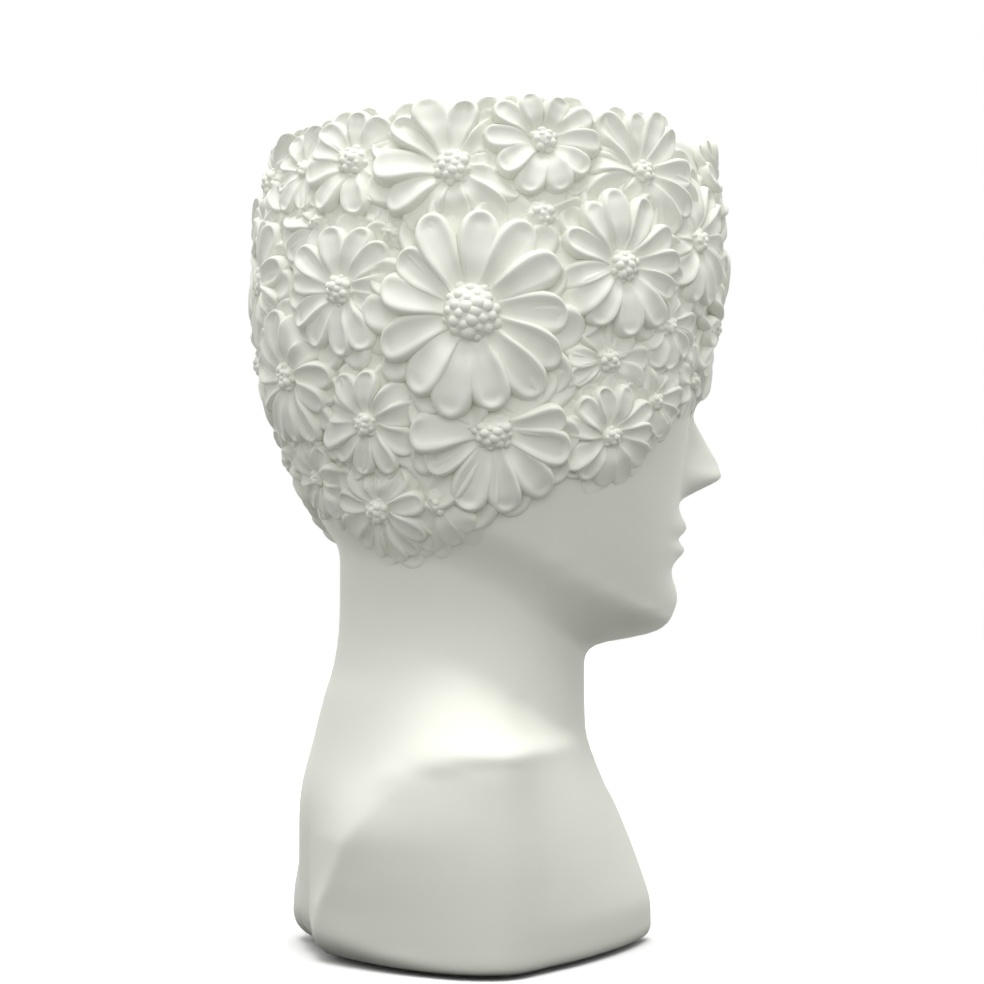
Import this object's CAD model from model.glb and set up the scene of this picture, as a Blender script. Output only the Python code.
# %% [markdown]
# # A head planter dressed with daisies
# The real object is a matte, unglazed ceramic bust. It is cast hollow, so the crown of the head is an open
# pot, and a potter presses daisies in small moulds and sticks them on the soft clay with slip before the
# firing. This lesson builds its looks around the measured model: a smooth bust, one relief flower for each
# applied daisy, and rubber for the stopper and the pads. The scene is in metres, and the lists of daisies
# and their petals are in millimetres and degrees, as a potter would note them.

# %% Load the measured model
import math

import bmesh
import bpy
import numpy as np
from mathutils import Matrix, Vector
from mathutils.bvhtree import BVHTree


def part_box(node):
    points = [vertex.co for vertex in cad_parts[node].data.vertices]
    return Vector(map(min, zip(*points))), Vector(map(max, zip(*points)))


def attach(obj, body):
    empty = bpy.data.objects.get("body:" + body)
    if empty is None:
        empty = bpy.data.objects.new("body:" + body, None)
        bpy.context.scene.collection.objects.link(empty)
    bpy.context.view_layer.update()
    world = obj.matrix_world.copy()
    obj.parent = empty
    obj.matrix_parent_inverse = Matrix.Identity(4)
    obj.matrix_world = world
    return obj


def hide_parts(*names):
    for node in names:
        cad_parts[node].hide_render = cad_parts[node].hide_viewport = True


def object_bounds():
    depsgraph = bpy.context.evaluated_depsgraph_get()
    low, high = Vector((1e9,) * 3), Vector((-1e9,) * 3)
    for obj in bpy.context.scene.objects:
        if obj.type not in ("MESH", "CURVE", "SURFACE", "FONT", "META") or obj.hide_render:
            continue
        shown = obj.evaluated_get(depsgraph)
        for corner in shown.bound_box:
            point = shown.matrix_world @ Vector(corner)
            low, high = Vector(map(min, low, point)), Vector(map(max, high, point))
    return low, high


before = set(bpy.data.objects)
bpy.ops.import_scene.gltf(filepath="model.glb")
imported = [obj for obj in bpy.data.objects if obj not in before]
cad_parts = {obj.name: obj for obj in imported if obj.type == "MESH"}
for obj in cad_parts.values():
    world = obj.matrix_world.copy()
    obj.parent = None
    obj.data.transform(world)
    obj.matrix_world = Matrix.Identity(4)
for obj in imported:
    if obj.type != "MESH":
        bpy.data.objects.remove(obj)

MM = 0.001
CAD_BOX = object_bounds()


def in_mm(corners):
    """Corners in millimetres, rounded for printing."""
    return [[round(value / MM, 1) for value in corner] for corner in corners]


print("measured box in mm:", in_mm(CAD_BOX))

# %% [markdown]
# ## Measuring the bust
# The shell's measured mesh is made of long triangles, which would show as facets on a smooth matte surface.
# Rays shot at it from all round give its radius at any height, and an even grid of those radii can be
# smoothed, looked up and dressed. This works because the bust has no overhang in any level cut: each ray has
# one answer. Angles go round the head: 0 is the face, 90 the figure's right side, 180 the back.

# %% Shoot rays at the shell
HEAD_AXIS_Y = 3 * MM
RAY_START = 200 * MM
COLUMNS = 360
TURNS = np.radians(np.arange(COLUMNS) * 360 / COLUMNS)

shell_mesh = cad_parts["planter_shell"].data
shell_corners = [tuple(vertex.co) for vertex in shell_mesh.vertices]
shell_faces = [tuple(face.vertices) for face in shell_mesh.polygons]
SHELL_TREE = BVHTree.FromPolygons(shell_corners, shell_faces)


def outward(turn):
    """The level direction at an angle round the head."""
    return Vector((-math.sin(turn), -math.cos(turn), 0))


def measure(height, inside=False):
    """Radii of the shell's outer or inner wall, in metres, all round the head at one height."""
    radii = np.zeros(COLUMNS)
    axis = Vector((0, HEAD_AXIS_Y, height))
    for number, turn in enumerate(TURNS):
        direction = outward(turn)
        origin = axis if inside else axis + RAY_START * direction
        hit = SHELL_TREE.ray_cast(origin, direction if inside else -direction)[0]
        radii[number] = (hit - axis).length
    return radii


print("the shell's measured mesh has", len(shell_faces), "triangles")

# %% Measure the head
SHELL_LOW, SHELL_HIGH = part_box("planter_shell")
RIM = SHELL_HIGH.z
BASE = SHELL_LOW.z
HEAD_BOTTOM = 120 * MM
HEAD_TOP = RIM - 3 * MM
HEAD_STEP = 1 * MM
HEAD_HEIGHTS = np.arange(HEAD_BOTTOM, HEAD_TOP, HEAD_STEP)
head_radii = np.array([measure(height) for height in HEAD_HEIGHTS])
print("measured", head_radii.size, "points of the head, widest", round(head_radii.max() / MM, 1), "mm")

# %% [markdown]
# ## Laying things on the head
# A flower is modelled flat, then bent round the head. For that, any angle and height needs a point of the
# skin and its outward direction. The radii are blurred a little first, so that petals don't copy the
# triangles, and above the rim the skin is carried on straight up.

# %% Look up the head's skin
BLUR_PASSES = 6
# Just short of the last row, so that there is always a row above to blend with.
LAST_ROW = len(HEAD_HEIGHTS) - 1.001
NORMAL_TURN = np.radians(2)
NORMAL_RISE = 2 * MM


def blurred(grid):
    """The grid of radii, evened out between neighbours."""
    for _ in range(BLUR_PASSES):
        grid = (grid + np.roll(grid, 1, axis=1) + np.roll(grid, -1, axis=1)) / 3
        padded = np.concatenate([grid[:1], grid, grid[-1:]])
        grid = (padded[:-2] + padded[1:-1] + padded[2:]) / 3
    return grid


SMOOTH_RADII = blurred(head_radii)


def head_radius(turn, height):
    """Radius of the smoothed head at angles and heights, blended between the four nearest measurements."""
    row = np.clip((height - HEAD_HEIGHTS[0]) / HEAD_STEP, 0, LAST_ROW)
    column = np.mod(turn / (2 * np.pi) * COLUMNS, COLUMNS)
    low, left = row.astype(int), column.astype(int) % COLUMNS
    up, across = row - low, column - np.floor(column)
    right = (left + 1) % COLUMNS
    lower = SMOOTH_RADII[low, left] * (1 - across) + SMOOTH_RADII[low, right] * across
    upper = SMOOTH_RADII[low + 1, left] * (1 - across) + SMOOTH_RADII[low + 1, right] * across
    return lower * (1 - up) + upper * up


def head_point(turn, height):
    """Points of the smoothed head."""
    radius = head_radius(turn, height)
    return np.stack([-radius * np.sin(turn), HEAD_AXIS_Y - radius * np.cos(turn), height], axis=-1)


def head_normal(turn, height):
    """Outward directions of the smoothed head."""
    level = head_point(turn + NORMAL_TURN, height) - head_point(turn - NORMAL_TURN, height)
    rising = head_point(turn, height + NORMAL_RISE) - head_point(turn, height - NORMAL_RISE)
    normal = np.cross(rising, level)
    return normal / np.linalg.norm(normal, axis=-1, keepdims=True)


def smooth_step(low, high, value):
    """Rises softly from 0 at low to 1 at high."""
    share = np.clip((value - low) / (high - low), 0, 1)
    return share * share * (3 - 2 * share)


right_temple = head_point(np.radians([90]), np.array([200 * MM]))
print("skin at the right temple in mm:", in_mm(right_temple)[0])

# %% [markdown]
# ## The finishes
# Unglazed cast ceramic is matte and nearly white, with a faint warm green-grey in its shade, a fine grain
# from the plaster mould and soft clouds where it dried unevenly. It is a Principled shader with little
# gloss: one noise clouds the colour and the roughness, and a second gives the grain its bump. Rubber is
# dark, with a moulded bloom. The noises read Object coordinates, so nothing slides when a piece moves.

# %% Make the finishes
CLOUD_DETAIL = 4
GRAIN_DETAIL = 3
TINT_ENDS = (0.3, 0.7)


def finish(name, colours, cloud_size, roughness, grain_size, grain_height, gloss):
    """A matte material: clouded colour, clouded roughness and a fine grain."""
    material = bpy.data.materials.new(name)
    material.use_nodes = True
    nodes, links = material.node_tree.nodes, material.node_tree.links
    shader = nodes["Principled BSDF"]
    shader.inputs["Specular IOR Level"].default_value = gloss
    place = nodes.new("ShaderNodeTexCoord")
    clouds = nodes.new("ShaderNodeTexNoise")
    clouds.inputs["Scale"].default_value = 1 / cloud_size
    clouds.inputs["Detail"].default_value = CLOUD_DETAIL
    tint = nodes.new("ShaderNodeValToRGB")
    for element, position, colour in zip(tint.color_ramp.elements, TINT_ENDS, colours):
        element.position = position
        element.color = (*colour, 1)
    dryness = nodes.new("ShaderNodeMapRange")
    dryness.inputs["To Min"].default_value = roughness[0]
    dryness.inputs["To Max"].default_value = roughness[1]
    grain = nodes.new("ShaderNodeTexNoise")
    grain.inputs["Scale"].default_value = 1 / grain_size
    grain.inputs["Detail"].default_value = GRAIN_DETAIL
    bump = nodes.new("ShaderNodeBump")
    bump.inputs["Strength"].default_value = 1
    bump.inputs["Distance"].default_value = grain_height
    links.new(place.outputs["Object"], clouds.inputs["Vector"])
    links.new(place.outputs["Object"], grain.inputs["Vector"])
    links.new(clouds.outputs["Fac"], tint.inputs["Fac"])
    links.new(tint.outputs["Color"], shader.inputs["Base Color"])
    links.new(clouds.outputs["Fac"], dryness.inputs["Value"])
    links.new(dryness.outputs["Result"], shader.inputs["Roughness"])
    links.new(grain.outputs["Fac"], bump.inputs["Height"])
    links.new(bump.outputs["Normal"], shader.inputs["Normal"])
    return material


BISQUE = finish(
    "bisque_ceramic",
    colours=((0.82, 0.83, 0.75), (0.85, 0.86, 0.785)),
    cloud_size=60 * MM,
    roughness=(0.55, 0.7),
    grain_size=0.5 * MM,
    grain_height=0.012 * MM,
    gloss=0.3,
)
STOPPER = finish(
    "stopper_rubber",
    colours=((0.018, 0.018, 0.018), (0.035, 0.034, 0.032)),
    cloud_size=6 * MM,
    roughness=(0.45, 0.65),
    grain_size=0.4 * MM,
    grain_height=0.02 * MM,
    gloss=0.4,
)
PAD = finish(
    "pad_rubber",
    colours=((0.25, 0.25, 0.24), (0.32, 0.32, 0.31)),
    cloud_size=4 * MM,
    roughness=(0.6, 0.8),
    grain_size=0.3 * MM,
    grain_height=0.02 * MM,
    gloss=0.3,
)
print("finishes:", [material.name for material in (BISQUE, STOPPER, PAD)])

# %% [markdown]
# ## The bust
# The bust is one skin that runs round a loop of rings: down the outside, under the base, into the foot
# recess, up the drain hole, across the floor, up the inside and over the rim. Every ring has the same number
# of points, so the skin closes on itself with no seam and no pole. The casting keeps the measured walls, and
# the sharp measured edges of rim and hole get the soft rounding that sponging the clay gives.

# %% Helpers for meshes
MERGE_DISTANCE = 0.002 * MM


def new_piece(name, points, faces, material, node, body):
    """A smooth mesh piece that stands for a measured node and moves with its body."""
    mesh = bpy.data.meshes.new(name)
    mesh.from_pydata([tuple(point) for point in points], [], faces)
    work = bmesh.new()
    work.from_mesh(mesh)
    bmesh.ops.remove_doubles(work, verts=work.verts, dist=MERGE_DISTANCE)
    bmesh.ops.recalc_face_normals(work, faces=work.faces)
    work.to_mesh(mesh)
    work.free()
    mesh.shade_smooth()
    mesh.materials.append(material)
    piece = bpy.data.objects.new(name, mesh)
    bpy.context.collection.objects.link(piece)
    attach(piece, body)
    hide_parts(node)
    return piece


def ring(radii, height, middle=HEAD_AXIS_Y):
    """Points all round at one height."""
    heights = np.full(COLUMNS, height)
    return np.stack([-radii * np.sin(TURNS), middle - radii * np.cos(TURNS), heights], axis=-1)


def band(first, second, count):
    """Quads between two rows of points, each row a closed round."""
    faces = []
    for point in range(count):
        after = (point + 1) % count
        faces.append((first + point, first + after, second + after, second + point))
    return faces


def joined(meshes):
    """Points and faces of several meshes as one."""
    points, faces, start = [], [], 0
    for more_points, more_faces in meshes:
        points.append(more_points)
        faces += [tuple(corner + start for corner in face) for face in more_faces]
        start += len(more_points)
    return np.concatenate(points), faces


print("each ring has", COLUMNS, "points")

# %% [markdown]
# ### The cut arms
# The arms are cut off flat. Each cut meets the back in a crease, which climbs from the base's back corner to
# the shoulder. The measured bust is rounded off there, so a tent of clay is laid on it: highest along the
# crease, falling straight to both sides. Above the crease the shoulder flows into the back, and there the
# rows are evened out so that no step shows.

# %% Raise the crease of the arm cuts
# The crease's angle round the bust, by height.
CREASE_HEIGHTS = np.array((0, 20, 29, 44, 58, 67, 73)) * MM
CREASE_ANGLES = (160, 155.5, 150, 143, 132, 123, 115.5)
CREASE_PROUD = 6 * MM
CREASE_FADE = (42 * MM, 72 * MM)
CREASE_SOFTNESS = 0.14
CUT_RIDGE, CUT_END = 101, 170
EVEN_ROWS = 13
EVEN_ANGLES = (134, 146)
EVEN_HEIGHTS = (30 * MM, 42 * MM, 85 * MM, 100 * MM)
ROUND_ANGLES = np.degrees(np.abs(np.where(TURNS > np.pi, TURNS - 2 * np.pi, TURNS)))


def smooth_least(first, second, softness):
    """The lesser of two values, with the corner between them rounded."""
    mix = np.clip(0.5 + 0.5 * (second - first) / softness, 0, 1)
    return second * (1 - mix) + first * mix - softness * mix * (1 - mix)


def crease_rise(height):
    """How far the crease of the arm cut stands proud of the measured bust, all round at one height."""
    corner = np.interp(height, CREASE_HEIGHTS, CREASE_ANGLES)
    before = (ROUND_ANGLES - CUT_RIDGE) / (corner - CUT_RIDGE)
    behind = (CUT_END - ROUND_ANGLES) / (CUT_END - corner)
    tent = np.maximum(smooth_least(before, behind, CREASE_SOFTNESS), 0)
    return CREASE_PROUD * (1 - smooth_step(*CREASE_FADE, height)) * tent


def evened(radii, heights):
    """The outer wall with its back evened out between rows, where the shoulder flows into it."""
    half = EVEN_ROWS // 2
    padded = np.concatenate([radii[:1]] * half + [radii] + [radii[-1:]] * half)
    mean = sum(padded[shift : shift + len(radii)] for shift in range(EVEN_ROWS)) / EVEN_ROWS
    low, rising, falling, high = EVEN_HEIGHTS
    share = smooth_step(low, rising, heights) * (1 - smooth_step(falling, high, heights))
    weight = share[:, None] * smooth_step(*EVEN_ANGLES, ROUND_ANGLES)
    return radii * (1 - weight) + mean * weight


print("the crease stands up to", round(crease_rise(BASE).max() / MM, 1), "mm proud at the base")

# %% Measure the walls
EDGE_ROWS = 12
EDGE_HEIGHT = 14 * MM
EDGE_CROWDING = 2.2
BASE_GAP = 0.05 * MM
OUTER_ROWS = 196
INNER_ROWS = 26
RIM_SOFTNESS = 3 * MM
FLOOR_TOP = 12.5 * MM
FLOOR_ROUNDING = 4 * MM

edge_shares = (np.arange(EDGE_ROWS) / EDGE_ROWS) ** EDGE_CROWDING
low_heights = BASE + BASE_GAP + EDGE_HEIGHT * edge_shares
high_heights = np.linspace(BASE + EDGE_HEIGHT, RIM - RIM_SOFTNESS, OUTER_ROWS)
edge_radii = [measure(height) for height in low_heights]
wall_radii = evened(np.array([measure(height) for height in high_heights]), high_heights)
outer_heights = np.concatenate([low_heights, high_heights])
outer_radii = np.concatenate([edge_radii, wall_radii])
outside = [(radii + crease_rise(height), height) for radii, height in zip(outer_radii, outer_heights)]
inner_heights = np.linspace(FLOOR_TOP + FLOOR_ROUNDING, RIM - RIM_SOFTNESS, INNER_ROWS)
inside = [(measure(height, inside=True), height) for height in inner_heights]
print("measured", len(outside), "rows outside and", len(inside), "rows inside")

# %% Close the loop of rings
RIM_ROWS = 8
RIM_FULLNESS = 0.7
FLOOR_CORNER = 1.2 * MM
DRAIN_RADIUS = 7 * MM
DRAIN_SURROUND = 8 * MM
RECESS_RADIUS = 30 * MM
RECESS_TOP = BASE + 3 * MM
SPONGED = 0.6 * MM
FOOT_INSET = 1.5 * MM

rings = [ring(radii, height) for radii, height in outside]
top_outer, top_inner = outside[-1][0], inside[-1][0]
for number in range(1, RIM_ROWS):
    roll = math.pi * number / RIM_ROWS
    across = (1 - math.cos(roll)) / 2
    rim_height = RIM - RIM_SOFTNESS * (1 - math.sin(roll) ** RIM_FULLNESS)
    rings.append(ring(top_outer * (1 - across) + top_inner * across, rim_height))
rings += [ring(radii, height) for radii, height in reversed(inside)]
floor_edge = inside[0][0]
rings.append(ring(floor_edge - FLOOR_CORNER, FLOOR_TOP + FLOOR_CORNER))
rings.append(ring(floor_edge - FLOOR_ROUNDING, FLOOR_TOP))
for radius, height in (
    (DRAIN_RADIUS + DRAIN_SURROUND, FLOOR_TOP),
    (DRAIN_RADIUS + SPONGED, FLOOR_TOP),
    (DRAIN_RADIUS, FLOOR_TOP - SPONGED),
    (DRAIN_RADIUS, RECESS_TOP + SPONGED),
    (DRAIN_RADIUS + SPONGED, RECESS_TOP),
    (RECESS_RADIUS - SPONGED, RECESS_TOP),
    (RECESS_RADIUS, RECESS_TOP - SPONGED),
    (RECESS_RADIUS, BASE + SPONGED),
    (RECESS_RADIUS + SPONGED, BASE),
):
    rings.append(ring(np.full(COLUMNS, radius), height, middle=0))
rings.append(ring(outside[0][0] - FOOT_INSET, BASE))

bust_faces = []
for number in range(len(rings)):
    bust_faces += band(number * COLUMNS, (number + 1) % len(rings) * COLUMNS, COLUMNS)
bust = new_piece("bust_skin", np.concatenate(rings), bust_faces, BISQUE, "planter_shell", "planter")
print("bust:", len(bust.data.polygons), "quads in", len(rings), "rings")

# %% [markdown]
# ## One petal
# A pressed petal is a plump teardrop with a broad rounded rim and a soft hollow inside it. A plain grid would
# pinch at the tip, so the petal is made of nested outlines: each ring is the outline drawn in towards the
# petal's middle line, and has its own height. That carries the rim all the way round the tip.

# %% Draw a petal's outline
OUTLINE_STEPS = 18
WIDEST = 0.66
ROOT_WIDTH = 0.5
TIP_ROUNDNESS = 2.3


def petal_outline():
    """Places along the petal and half widths at them, as shares, up one side and down the other."""
    walk = np.sin(np.linspace(0, np.pi / 2, OUTLINE_STEPS + 1))
    widening = ROOT_WIDTH + (1 - ROOT_WIDTH) * smooth_step(0, WIDEST, walk)
    past_widest = np.maximum(walk - WIDEST, 0) / (1 - WIDEST)
    closing = np.sqrt(np.maximum(1 - past_widest**TIP_ROUNDNESS, 0))
    half_width = widening * closing
    along = np.concatenate([walk, walk[-2::-1]])
    aside = np.concatenate([half_width, -half_width[-2::-1]])
    return along, aside


ALONG, ASIDE = petal_outline()
OUTLINE_POINTS = len(ALONG)
print("a petal's outline has", OUTLINE_POINTS, "points")

# %% Shape a petal
# Each ring: how far out from the middle line, then its shares of the petal's height, of the rim's height and
# of the hollow's depth.
PETAL_RINGS = (
    (0.80, -0.35, 0.0, 0.0),
    (0.98, 0.10, 0.0, 0.0),
    (1.00, 0.36, 0.0, 0.0),
    (0.97, 0.62, 0.0, 0.0),
    (0.90, 0.84, 0.25, 0.0),
    (0.80, 0.96, 0.75, 0.0),
    (0.66, 1.00, 1.00, 0.20),
    (0.48, 1.00, 0.60, 0.70),
    (0.26, 1.00, 0.15, 1.00),
    (0.00, 1.00, 0.0, 0.80),
)
# Places along the petal, as shares of its length.
MIDDLE_LINE = (0.12, 0.80)
RIM_GROWS = (0.0, 0.3)
HOLLOW_GROWS = (0.05, 0.5)
FULL_HEIGHT_AT = 0.45
TIP_FALLS_FROM = 0.7
# Shares of the petal's height.
ROOT_RISE = 0.45
TIP_FALL = 0.22


def petal_faces():
    """The petal's skin: quads between its rings, and its underside."""
    faces = []
    for number in range(len(PETAL_RINGS) - 1):
        faces += band(number * OUTLINE_POINTS, (number + 1) * OUTLINE_POINTS, OUTLINE_POINTS)
    last = OUTLINE_POINTS - 1
    for point in range(OUTLINE_POINTS // 2):
        faces.append((point, last - point, last - point - 1, point + 1))
    return faces


PETAL_FACES = petal_faces()


def petal_points(start, length, half_width, build, lean, sweep):
    """A flat petal along X. Build is its height, rim and hollow; lean tilts it sideways, sweep bends it."""
    height, rim, hollow = build
    points = []
    for inset, height_share, rim_share, hollow_share in PETAL_RINGS:
        middle = np.clip(ALONG, *MIDDLE_LINE)
        along = middle + (ALONG - middle) * inset
        aside = ASIDE * inset
        growth = ROOT_RISE + (1 - ROOT_RISE) * smooth_step(0, FULL_HEIGHT_AT, along)
        growth = growth - TIP_FALL * smooth_step(TIP_FALLS_FROM, 1, along)
        raised = rim * rim_share * smooth_step(*RIM_GROWS, along)
        sunk = hollow * hollow_share * smooth_step(*HOLLOW_GROWS, along)
        tilt = lean * aside * half_width * max(height_share, 0)
        rise = height * growth * height_share + raised - sunk + tilt
        across = aside * half_width + sweep * length * along**2
        points.append(np.stack([start + length * along, across, rise], axis=-1))
    return np.concatenate(points)


print("a petal has", len(PETAL_RINGS), "rings and", len(PETAL_FACES), "faces")

# %% [markdown]
# ## The beaded centres
# A daisy's centre is a dome packed with round beads. Geometry Nodes suits it: points on a sunflower spiral,
# each turned by the golden angle from the last, so they pack evenly without lining up, and one bead on each
# point. The tree's inputs are the dome's radius and height, the bead's radius, how many, and a seed for
# their sizes.

# %% Build the bead tree
GOLDEN_ANGLE = math.pi * (3 - math.sqrt(5))
SPIRAL_START = 0.5
DOME_CURVE = 0.38
BEAD_SIZES = (0.75, 1.3)
BEAD_SUBDIVISIONS = 2


def bead_tree():
    """Geometry Nodes that set beads on a spiral over a dome."""
    tree = bpy.data.node_groups.new("beaded_centre", "GeometryNodeTree")
    tree.interface.new_socket("Geometry", in_out="INPUT", socket_type="NodeSocketGeometry")
    for name, kind in (
        ("Dome radius", "NodeSocketFloat"),
        ("Dome height", "NodeSocketFloat"),
        ("Bead radius", "NodeSocketFloat"),
        ("Beads", "NodeSocketInt"),
        ("Seed", "NodeSocketInt"),
    ):
        tree.interface.new_socket(name, in_out="INPUT", socket_type=kind)
    tree.interface.new_socket("Geometry", in_out="OUTPUT", socket_type="NodeSocketGeometry")
    nodes, links = tree.nodes, tree.links
    given = nodes.new("NodeGroupInput").outputs
    result = nodes.new("NodeGroupOutput")

    def sum_of(operation, first, second=None):
        """A Math node's answer."""
        node = nodes.new("ShaderNodeMath")
        node.operation = operation
        for socket, value in zip(node.inputs, (first, second)):
            if isinstance(value, (int, float)):
                socket.default_value = value
            elif value is not None:
                links.new(value, socket)
        return node.outputs[0]

    index = nodes.new("GeometryNodeInputIndex").outputs[0]
    share = sum_of("DIVIDE", sum_of("ADD", index, SPIRAL_START), given["Beads"])
    reach = sum_of("MULTIPLY", given["Dome radius"], sum_of("SQRT", share))
    turn = sum_of("MULTIPLY", index, GOLDEN_ANGLE)
    curve = sum_of("POWER", sum_of("SUBTRACT", 1.0, share), DOME_CURVE)
    place = nodes.new("ShaderNodeCombineXYZ")
    links.new(sum_of("MULTIPLY", reach, sum_of("COSINE", turn)), place.inputs["X"])
    links.new(sum_of("MULTIPLY", reach, sum_of("SINE", turn)), place.inputs["Y"])
    links.new(sum_of("MULTIPLY", given["Dome height"], curve), place.inputs["Z"])
    points = nodes.new("GeometryNodePoints")
    links.new(given["Beads"], points.inputs["Count"])
    links.new(place.outputs[0], points.inputs["Position"])
    bead = nodes.new("GeometryNodeMeshIcoSphere")
    bead.inputs["Subdivisions"].default_value = BEAD_SUBDIVISIONS
    links.new(given["Bead radius"], bead.inputs["Radius"])
    size = nodes.new("FunctionNodeRandomValue")
    size.inputs[2].default_value, size.inputs[3].default_value = BEAD_SIZES
    links.new(given["Seed"], size.inputs["Seed"])
    beads = nodes.new("GeometryNodeInstanceOnPoints")
    links.new(points.outputs[0], beads.inputs["Points"])
    links.new(bead.outputs["Mesh"], beads.inputs["Instance"])
    links.new(size.outputs[1], beads.inputs["Scale"])
    real = nodes.new("GeometryNodeRealizeInstances")
    links.new(beads.outputs[0], real.inputs[0])
    coated = nodes.new("GeometryNodeSetMaterial")
    coated.inputs["Material"].default_value = BISQUE
    links.new(real.outputs[0], coated.inputs[0])
    links.new(coated.outputs[0], result.inputs[0])
    return tree


BEAD_TREE = bead_tree()
tree_sockets = BEAD_TREE.interface.items_tree
BEAD_INPUTS = {socket.name: socket.identifier for socket in tree_sockets if socket.in_out == "INPUT"}
print("bead tree:", len(BEAD_TREE.nodes), "nodes, inputs", list(BEAD_INPUTS)[1:])

# %% Grow the beads
BEAD_PACKING = 1.3
FEWEST_BEADS = 7


def beads_over(dome_radius, dome_height, bead_radius, seed):
    """Points, in millimetres, and faces of the beads over a flat-lying dome."""
    count = max(int(BEAD_PACKING * (dome_radius / bead_radius) ** 2), FEWEST_BEADS)
    carrier = bpy.data.objects.new("bead_carrier", bpy.data.meshes.new("bead_carrier"))
    bpy.context.collection.objects.link(carrier)
    modifier = carrier.modifiers.new("beads", "NODES")
    modifier.node_group = BEAD_TREE
    values = {
        "Dome radius": float(dome_radius * MM),
        "Dome height": float(dome_height * MM),
        "Bead radius": float(bead_radius * MM),
        "Beads": count,
        "Seed": seed,
    }
    for name, value in values.items():
        modifier[BEAD_INPUTS[name]] = value
    grown = carrier.evaluated_get(bpy.context.evaluated_depsgraph_get())
    baked = bpy.data.meshes.new_from_object(grown)
    points = np.array([tuple(vertex.co) for vertex in baked.vertices])
    faces = [tuple(face.vertices) for face in baked.polygons]
    bpy.data.objects.remove(carrier)
    bpy.data.meshes.remove(baked)
    return points / MM, faces


print("a centre has", FEWEST_BEADS, "beads or more")

# %% [markdown]
# ## The daisies
# Each daisy has its place on the head, a reach, a centre, a number of petals and a lift. Earlier ones in the
# list lie over later ones, which are pressed down where they run under. Petals differ a little in length,
# width, tilt and bend, as fingers leave them, and a lower ring of petals shows between the upper ones.
# Towards the flowers' lower edge the relief fades into the skin, where the potter smoothed the slip.

# %% List the daisies
# Each daisy: angle and height of its centre, reach, centre's radius, petals, turn of the first petal, lift.
DAISIES = {
    "right_01": (106, 227, 36.0, 9.9, 13, 5, 2.6),
    "right_02": (86, 287, 21.0, 4.6, 10, 0, 3.4),
    "right_03": (111, 277, 28.0, 6.3, 11, 12, 2.2),
    "right_04": (64, 245, 27.0, 5.6, 12, 8, 2.4),
    "right_05": (100, 187, 29.5, 6.9, 11, 15, 1.5),
    "right_06": (140, 236, 24.0, 5.2, 11, 4, 1.8),
    "right_07": (64, 186, 20.0, 3.7, 11, 10, 1.9),
    "right_08": (138, 281, 21.0, 5.2, 10, 18, 1.7),
    "back_01": (162, 208, 25.0, 5.2, 11, 0, 1.2),
    "right_09": (136, 190, 20.5, 4.3, 10, 9, 1.5),
    "right_10": (138, 160, 20.0, 4.3, 10, 14, 1.2),
    "right_11": (56, 279, 27.0, 4.2, 11, 6, 1.4),
    "front_01": (36, 258, 25.0, 4.2, 11, 0, 1.4),
    "right_12": (118, 163, 18.5, 4.5, 10, 3, 0.9),
    "right_13": (67, 212, 17.0, 4.3, 9, 12, 1.0),
    "right_14": (88, 261, 21.0, 5.6, 10, 9, 1.0),
    "right_15": (126, 254, 15.0, 4.3, 9, 5, 0.6),
    "back_02": (155, 281, 17.0, 3.0, 9, 0, 1.0),
    "right_16": (147, 260, 19.0, 3.6, 9, 10, 0.9),
    "right_17": (47, 226, 17.0, 3.2, 9, 4, 1.1),
    "right_18": (49, 199, 16.0, 2.9, 9, 11, 0.9),
    "back_03": (163, 172, 17.0, 3.0, 9, 7, 1.0),
    "front_02": (8, 230, 32.0, 6.4, 12, 3, 1.2),
    "front_03": (10, 282, 27.0, 4.8, 11, 9, 1.1),
    "front_04": (-17, 265, 28.0, 5.0, 11, 2, 0.9),
    "front_05": (29, 208, 16.0, 3.0, 9, 6, 0.8),
    "front_06": (-20, 217, 20.0, 3.8, 10, 0, 1.0),
    "left_01": (-45, 286, 26.0, 4.8, 11, 14, 1.6),
    "left_02": (-46, 242, 28.0, 6.0, 11, 5, 2.2),
    "front_07": (-42, 199, 17.0, 3.6, 9, 11, 1.2),
    "left_03": (-67, 209, 21.0, 4.6, 10, 8, 1.5),
    "left_04": (-63, 179, 17.0, 3.6, 9, 3, 1.0),
    "left_05": (-76, 278, 28.0, 6.2, 11, 0, 2.2),
    "left_06": (-90, 184, 28.5, 6.6, 11, 10, 1.5),
    "left_07": (-79, 239, 18.0, 4.0, 9, 6, 1.0),
    "left_08": (-108, 234, 35.0, 9.4, 13, 2, 2.6),
    "left_09": (-107, 283, 21.0, 4.6, 10, 16, 1.4),
    "left_10": (-119, 186, 21.0, 4.6, 10, 7, 1.2),
    "left_11": (-118, 156, 17.0, 3.8, 9, 12, 0.9),
    "left_12": (-136, 276, 31.0, 6.2, 12, 4, 1.6),
    "left_13": (-142, 230, 22.0, 5.0, 10, 0, 1.6),
    "left_14": (-144, 195, 21.0, 4.6, 10, 13, 1.4),
    "left_15": (-144, 165, 21.0, 4.4, 10, 6, 1.1),
    "back_04": (-164, 258, 27.0, 5.2, 11, 9, 0.8),
    "back_05": (176, 244, 26.0, 5.0, 11, 3, 0.9),
    "back_06": (-168, 216, 23.0, 4.8, 10, 11, 0.8),
    "back_07": (-169, 180, 22.0, 4.8, 10, 5, 0.8),
    "back_08": (176, 281, 26.0, 4.8, 11, 8, 0.8),
}
# The flowers' lower edge: angle round the head, on either side, and height.
EDGE_ANGLES = (0, 31, 38, 54, 68, 80, 92, 106, 133, 164, 180)
EDGE_HEIGHTS = (198, 196, 186, 172, 167, 162, 156, 149, 140, 150, 150)
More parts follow.
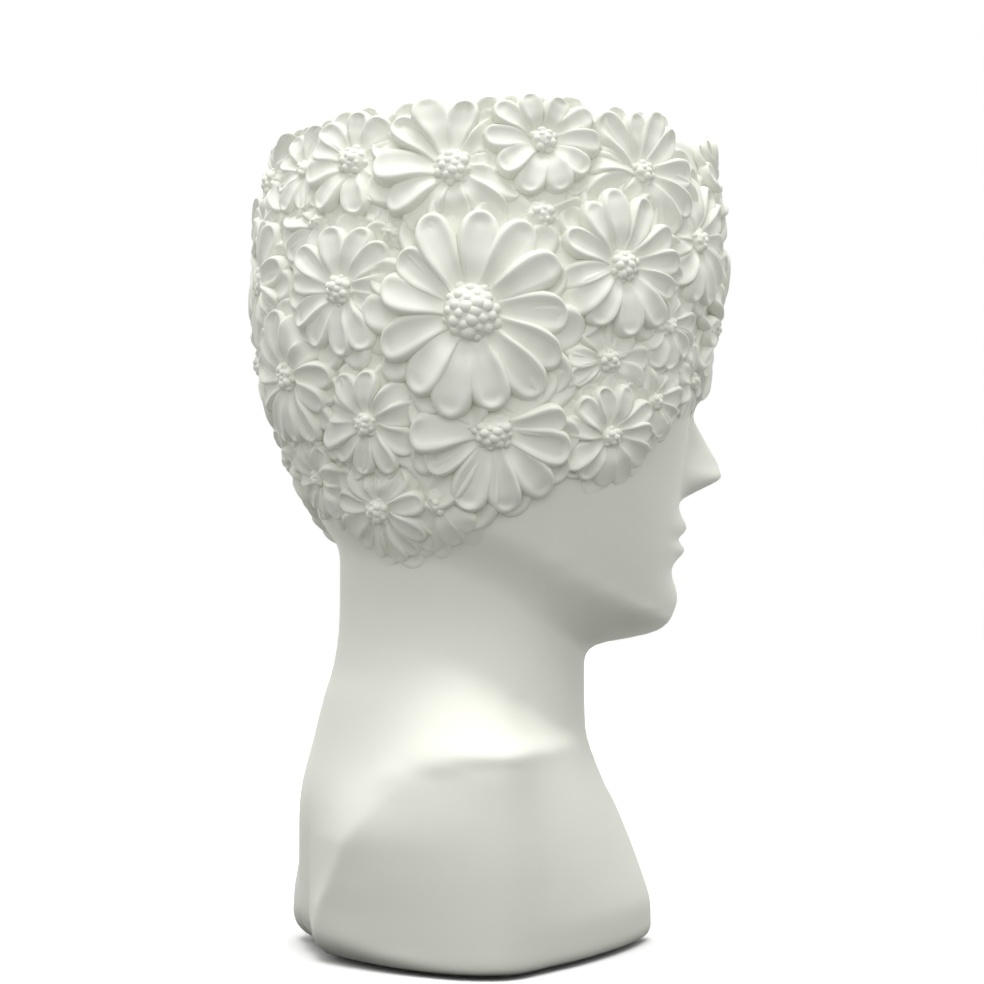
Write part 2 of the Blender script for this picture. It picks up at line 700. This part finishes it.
# The scalloped rim: angle round the head, on either side, and the height that its petals' tips stay under.
TIP_ANGLES = (0, 60, 85, 110, 140, 165, 180)
TIP_HEIGHTS = (302, 303.6, 304.7, 304.2, 302, 298.4, 297.8)
print(len(DAISIES), "daisies")

# %% Model a daisy's petals
PETAL_HEIGHT = 3.0
RIM_HEIGHT = 1.1
HOLLOW_DEPTH = 1.6
LOWER_HEIGHT = 2.0
LOWER_STRETCH = 1.22
# Lower petals lie between the upper ones, turned by this share of a pitch.
LOWER_TURN = 0.5
SHORTEST_PETAL = 0.28
RIM_SCALLOP = 3.5
LEAST_CLIMB = 0.05
# Petals start under the centre's edge, at this share of its radius.
ROOT_SHARE = 0.72
# The relief grows with the flower: full at this reach, and held between two shares.
FULL_REACH = 28
RELIEF_SHARES = (0.62, 1.1)
# How petals differ: shares of a pitch, of the plain length, width, height and hollow, and tilts and bends.
TURN_SPREAD = (-0.15, 0.15)
LENGTH_SPREAD = (0.88, 1.06)
WIDTH_SPREAD = (1.0, 1.24)
HEIGHT_SPREAD = (0.92, 1.08)
HOLLOW_SPREAD = (-0.1, 1.3)
LEAN_SPREAD = (-0.05, 0.3)
SWEEP_SPREAD = (-0.1, 0.1)


def turned(points, angle):
    """Flat-lying points turned about the flower's centre."""
    cosine, sine = math.cos(angle), math.sin(angle)
    across = points[:, 0] * cosine - points[:, 1] * sine
    upward = points[:, 0] * sine + points[:, 1] * cosine
    return np.stack([across, upward, points[:, 2]], axis=-1)


def petal_room(angle, headroom):
    """How far a petal may run from the flower's centre before its tip passes over the rim."""
    climb = math.sin(angle)
    return headroom / climb if climb > LEAST_CLIMB else math.inf


def flat_daisy(reach, dome, petals, first_turn, lift, headroom, seed):
    """Points, in millimetres, and faces of a daisy that lies flat: long lower petals, then the upper ones."""
    draw = np.random.default_rng(seed)
    pitch = 2 * math.pi / petals
    root = ROOT_SHARE * dome
    size = min(max(reach / FULL_REACH, RELIEF_SHARES[0]), RELIEF_SHARES[1])
    made = []
    for upper in (False, True):
        stretch = 1.0 if upper else LOWER_STRETCH
        thickness = PETAL_HEIGHT * size + lift if upper else LOWER_HEIGHT * size
        for number in range(petals):
            step = number + (0 if upper else LOWER_TURN) + draw.uniform(*TURN_SPREAD)
            angle = math.radians(first_turn) + pitch * step
            room = petal_room(angle, headroom - draw.uniform(0, RIM_SCALLOP)) - root
            length = min((reach - root) * stretch * draw.uniform(*LENGTH_SPREAD), room)
            width = (root + WIDEST * length) * math.tan(pitch / 2) * draw.uniform(*WIDTH_SPREAD)
            height = thickness * draw.uniform(*HEIGHT_SPREAD)
            hollow = HOLLOW_DEPTH * draw.uniform(*HOLLOW_SPREAD) * size
            lean = draw.uniform(*LEAN_SPREAD)
            sweep = draw.uniform(*SWEEP_SPREAD)
            if length < SHORTEST_PETAL * reach:
                continue
            petal = petal_points(root, length, width, (height, RIM_HEIGHT * size, hollow), lean, sweep)
            made.append((turned(petal, angle), PETAL_FACES))
    return joined(made)


print("petals stand", PETAL_HEIGHT, "mm off the skin, the lower ones", LOWER_HEIGHT, "mm")

# %% Model a daisy's centre
# Each ring of the smooth dome: its shares of the dome's radius and height.
DOME_RINGS = ((1.0, -0.4), (1.0, 0.25), (0.93, 0.5), (0.78, 0.72), (0.55, 0.88), (0.3, 0.97))
DOME_SIDES = 28
DOME_RISE = 0.4
DOME_BASE = 1.9
BEAD_GROWTH = 0.12
BEAD_BASE = 0.78
BEAD_SINK = 0.6
BEAD_SPREAD = 0.95


def flat_dome(dome, dome_height):
    """Points, in millimetres, and faces of the smooth dome under the beads."""
    turns = np.arange(DOME_SIDES) * 2 * np.pi / DOME_SIDES
    points = []
    for out, rise in DOME_RINGS:
        heights = np.full(DOME_SIDES, rise * dome_height)
        points.append(np.stack([dome * out * np.cos(turns), dome * out * np.sin(turns), heights], axis=-1))
    faces = []
    for number in range(len(DOME_RINGS) - 1):
        faces += band(number * DOME_SIDES, (number + 1) * DOME_SIDES, DOME_SIDES)
    faces.append(tuple(range(DOME_SIDES - 1, -1, -1)))
    faces.append(tuple(range((len(DOME_RINGS) - 1) * DOME_SIDES, len(DOME_RINGS) * DOME_SIDES)))
    return np.concatenate(points), faces


def flat_centre(dome, lift, seed):
    """Points, in millimetres, and faces of a daisy's dome and of the beads on it."""
    dome_height = DOME_RISE * dome + DOME_BASE + lift
    bead_radius = BEAD_GROWTH * dome + BEAD_BASE
    bead_height = dome_height - BEAD_SINK * bead_radius
    beads = beads_over(BEAD_SPREAD * dome, bead_height, bead_radius, seed)
    return joined([flat_dome(dome, dome_height), beads])


print("a dome has", len(DOME_RINGS), "rings of", DOME_SIDES, "points")

# %% [markdown]
# ### Bending the daisies round the head
# A flat point goes to the head's tangent plane at the flower's centre, and from there straight on to the
# skin, and its own height is set off along the skin's outward direction. Three things change that height: the
# fade at the lower edge, the press of the daisies that lie over it, and the rim and the box, where points are
# squeezed softly under their limits so that no flat cut shows.

# %% Bend the daisies on
FADE_SPAN = 12 * MM
EDGE_OVERRUN = 8 * MM
SUNK_SHARE = -0.25
PRESS_START = 0.88
PRESS_END = 1.15
PRESSED_SHARE = 0.1
RIM_SQUEEZE = 2.5 * MM
END_SQUEEZE = 2.5 * MM
END_GAP = 0.3 * MM


def squeezed(values, limit, span):
    """Values held under a limit: the last span before it is compressed softly."""
    over = np.maximum(values - (limit - span), 0)
    return values - over + span * (1 - np.exp(-over / span))


def bend_on(points, angle, height, covers):
    """Flat points in millimetres, bent on to the head and pressed down under the daisies that cover them."""
    turn, rise = math.radians(angle), height * MM
    centre = head_point(np.array([turn]), np.array([rise]))[0]
    normal = head_normal(np.array([turn]), np.array([rise]))[0]
    level = np.cross((0, 0, 1), normal)
    level = level / np.linalg.norm(level)
    upward = np.cross(normal, level)
    laid = centre + MM * (points[:, :1] * level + points[:, 1:2] * upward)
    turns = np.arctan2(-laid[:, 0], HEAD_AXIS_Y - laid[:, 1])
    round_angles = np.degrees(np.abs(turns))
    edge = np.interp(round_angles, EDGE_ANGLES, EDGE_HEIGHTS) * MM
    tips = np.interp(round_angles, TIP_ANGLES, TIP_HEIGHTS) * MM
    heights = squeezed(laid[:, 2], tips, RIM_SQUEEZE)
    share = SUNK_SHARE + (1 - SUNK_SHARE) * smooth_step(-EDGE_OVERRUN, FADE_SPAN, heights - edge)
    skin = head_point(turns, heights)
    for cover, reach in covers:
        distance = np.linalg.norm(skin - cover, axis=-1)
        clear = smooth_step(PRESS_START * reach, PRESS_END * reach, distance)
        share = np.minimum(share, PRESSED_SHARE + (1 - PRESSED_SHARE) * clear)
    above = np.where(points[:, 2] > 0, points[:, 2] * share, points[:, 2])
    bent = skin + MM * above[:, None] * head_normal(turns, heights)
    bent[:, 1] = squeezed(bent[:, 1], CAD_BOX[1].y - END_GAP, END_SQUEEZE)
    bent[:, 1] = -squeezed(-bent[:, 1], -CAD_BOX[0].y - END_GAP, END_SQUEEZE)
    bent[:, 2] = np.minimum(bent[:, 2], tips)
    return bent


print("daisies fade over", round(FADE_SPAN / MM), "mm at their lower edge")

# %% Lay the daisies
# Petals may run a little past the rim's line before they are squeezed under it.
HEADROOM_SHARE = 1.05


def make_daisy(number, name, covers):
    """One applied daisy, in place on the head. It joins the covers of those that come after it."""
    angle, height, reach, dome, petals, first_turn, lift = DAISIES[name]
    headroom = HEADROOM_SHARE * (np.interp(abs(angle), TIP_ANGLES, TIP_HEIGHTS) - height)
    flower = flat_daisy(reach, dome, petals, first_turn, lift, headroom, number)
    points, faces = joined([flower, flat_centre(dome, lift, number)])
    placed = bend_on(points, angle, height, covers)
    covers.append((head_point(np.radians([angle]), np.array([height * MM]))[0], reach * MM))
    return new_piece("sprig_" + name, placed, faces, BISQUE, "daisy_" + name, "planter")


laid_daisies = []
sprigs = [make_daisy(number, name, laid_daisies) for number, name in enumerate(DAISIES)]
print("daisies:", len(sprigs), "with", sum(len(sprig.data.polygons) for sprig in sprigs), "faces")

# %% [markdown]
# ## Stopper and pads
# The stopper and the pads are plain turned shapes, and the measured parts already have their true form, so
# they stay as they are and only get their finish.

# %% Finish the rubber pieces
for node, material in (("drain_plug", STOPPER), ("foot_pads", PAD)):
    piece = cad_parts[node]
    piece.data.materials.clear()
    piece.data.materials.append(material)
print("rubber pieces finished")

# %% [markdown]
# ## The stage
# The photograph is a bright studio shot on a white floor that runs out of sight. Here a broad light hangs
# overhead, a soft box stands near the camera, and the walls glow, more behind the object than before it,
# which gives it bright edges. A white floor throws light back up and would flatten the bust, so this one
# throws none, and a dark card under it shades the lowest planes, as a black card does in a studio.

# %% Find the directions of the view
EYE_BEHIND = math.radians(12)
AXIS = Vector((0, 5 * MM, 0))
towards_eye = Vector((-math.cos(EYE_BEHIND), math.sin(EYE_BEHIND), 0))
image_right = Vector((-math.sin(EYE_BEHIND), -math.cos(EYE_BEHIND), 0))


def place_and_aim(name, data, place, target):
    """A light or camera at a place, pointed at a target."""
    piece = bpy.data.objects.new(name, data)
    piece.location = place
    piece.rotation_euler = (target - place).to_track_quat("-Z", "Y").to_euler()
    bpy.context.collection.objects.link(piece)
    return piece


print("the camera looks along", [round(-value, 3) for value in towards_eye])

# %% Lay the floor and the dark card
FLOOR_REACH = 6
FLOOR_COLOUR = (0.9, 0.9, 0.9)
FLOOR_ROUGHNESS = 0.8
CARD_RADIUS = 210 * MM
CARD_SIDES = 48
CARD_DROP = 2 * MM
CARD_COLOUR = (0.02, 0.02, 0.02)
CARD_ROUGHNESS = 0.5


def stage_piece(name, finish_name, corners, colour, roughness):
    """A flat piece of the stage."""
    mesh = bpy.data.meshes.new(name)
    mesh.from_pydata(corners, [], [tuple(range(len(corners)))])
    material = bpy.data.materials.new(finish_name)
    material.use_nodes = True
    shader = material.node_tree.nodes["Principled BSDF"]
    shader.inputs["Base Color"].default_value = (*colour, 1)
    shader.inputs["Roughness"].default_value = roughness
    mesh.materials.append(material)
    piece = bpy.data.objects.new(name, mesh)
    bpy.context.collection.objects.link(piece)
    return piece


floor_signs = ((-1, -1), (1, -1), (1, 1), (-1, 1))
floor_corners = [(across * FLOOR_REACH, along * FLOOR_REACH, 0) for across, along in floor_signs]
floor = stage_piece("floor", "floor_white", floor_corners, FLOOR_COLOUR, FLOOR_ROUGHNESS)
floor.visible_diffuse = False

card_corners = []
for side in range(CARD_SIDES):
    turn = 2 * math.pi * side / CARD_SIDES
    card_corners.append((CARD_RADIUS * math.cos(turn), CARD_RADIUS * math.sin(turn), -CARD_DROP))
card = stage_piece("dark_card", "card_black", card_corners, CARD_COLOUR, CARD_ROUGHNESS)
card.visible_camera = False
card.visible_glossy = False
card.visible_shadow = False
print("floor", 2 * FLOOR_REACH, "m wide, dark card", round(2 * CARD_RADIUS, 2), "m wide")

# %% Hang the lights
OVERHEAD_ENERGY = 2.15
OVERHEAD_SPREAD = 40
OVERHEAD_BEFORE = 0.22
SOFT_BOX_POWER = 0.95
SOFT_BOX_SIZE = 0.4
SOFT_BOX_DISTANCE = 0.55
SOFT_BOX_HEIGHT = 0.36
SOFT_BOX_AIM = 0.2

overhead = bpy.data.lights.new("overhead_light", "SUN")
overhead.energy = OVERHEAD_ENERGY
overhead.angle = math.radians(OVERHEAD_SPREAD)
overhead_place = Vector((0, 0, 1)) + OVERHEAD_BEFORE * towards_eye
place_and_aim("overhead_light", overhead, overhead_place, Vector((0, 0, 0)))

soft_box = bpy.data.lights.new("soft_box", "AREA")
soft_box.energy = SOFT_BOX_POWER
soft_box.size = SOFT_BOX_SIZE
soft_box_place = AXIS + SOFT_BOX_DISTANCE * towards_eye + Vector((0, 0, SOFT_BOX_HEIGHT))
place_and_aim("soft_box", soft_box, soft_box_place, AXIS + Vector((0, 0, SOFT_BOX_AIM)))
print("lights:", [light.name for light in (overhead, soft_box)])

# %% Light the walls
WALL_COLOUR = (1.0, 1.0, 0.985)
WALL_LOW = 0.22
WALL_HIGH = 0.9
WALL_BEFORE = 0.42
WALL_BEHIND = 2.0


def studio_world():
    """White walls, brighter towards the ceiling and away from the camera, with a plain white backdrop."""
    world = bpy.data.worlds.new("studio")
    world.use_nodes = True
    nodes, links = world.node_tree.nodes, world.node_tree.links

    def ranged(value, low, high):
        """A value from -1 to 1, mapped to the range from low to high."""
        node = nodes.new("ShaderNodeMapRange")
        node.inputs["From Min"].default_value = -1
        node.inputs["From Max"].default_value = 1
        node.inputs["To Min"].default_value = low
        node.inputs["To Max"].default_value = high
        links.new(value, node.inputs["Value"])
        return node.outputs["Result"]

    walls = nodes["Background"]
    walls.inputs["Color"].default_value = (*WALL_COLOUR, 1)
    direction = nodes.new("ShaderNodeTexCoord").outputs["Generated"]
    facing = nodes.new("ShaderNodeVectorMath")
    facing.operation = "DOT_PRODUCT"
    facing.inputs[1].default_value = towards_eye
    upward = nodes.new("ShaderNodeSeparateXYZ")
    strength = nodes.new("ShaderNodeMath")
    strength.operation = "MULTIPLY"
    backdrop = nodes.new("ShaderNodeBackground")
    backdrop.inputs["Color"].default_value = (1, 1, 1, 1)
    seen = nodes.new("ShaderNodeLightPath")
    mix = nodes.new("ShaderNodeMixShader")
    links.new(direction, upward.inputs[0])
    links.new(direction, facing.inputs[0])
    links.new(ranged(upward.outputs["Z"], WALL_LOW, WALL_HIGH), strength.inputs[0])
    links.new(ranged(facing.outputs["Value"], WALL_BEHIND, WALL_BEFORE), strength.inputs[1])
    links.new(strength.outputs["Value"], walls.inputs["Strength"])
    links.new(seen.outputs["Is Camera Ray"], mix.inputs["Fac"])
    links.new(walls.outputs["Background"], mix.inputs[1])
    links.new(backdrop.outputs["Background"], mix.inputs[2])
    links.new(mix.outputs["Shader"], nodes["World Output"].inputs["Surface"])
    return world


bpy.context.scene.world = studio_world()
bpy.context.scene.view_settings.view_transform = "Standard"
print("walls lit by", len(bpy.context.scene.world.node_tree.nodes), "nodes")

# %% Set up the camera
EYE_DISTANCE = 858 * MM
EYE_HEIGHT = 128 * MM
AIM_HEIGHT = 168.5 * MM
AIM_AHEAD = 4.5 * MM
LENS = 83.7
SENSOR_WIDTH = 36

lens = bpy.data.cameras.new("camera")
lens.lens = LENS
lens.sensor_width = SENSOR_WIDTH
eye = AXIS + EYE_DISTANCE * towards_eye + Vector((0, 0, EYE_HEIGHT))
aim = AXIS + AIM_AHEAD * image_right + Vector((0, 0, AIM_HEIGHT))
camera = place_and_aim("camera", lens, eye, aim)
bpy.context.scene.camera = camera
print("camera at", [round(value, 3) for value in camera.location])
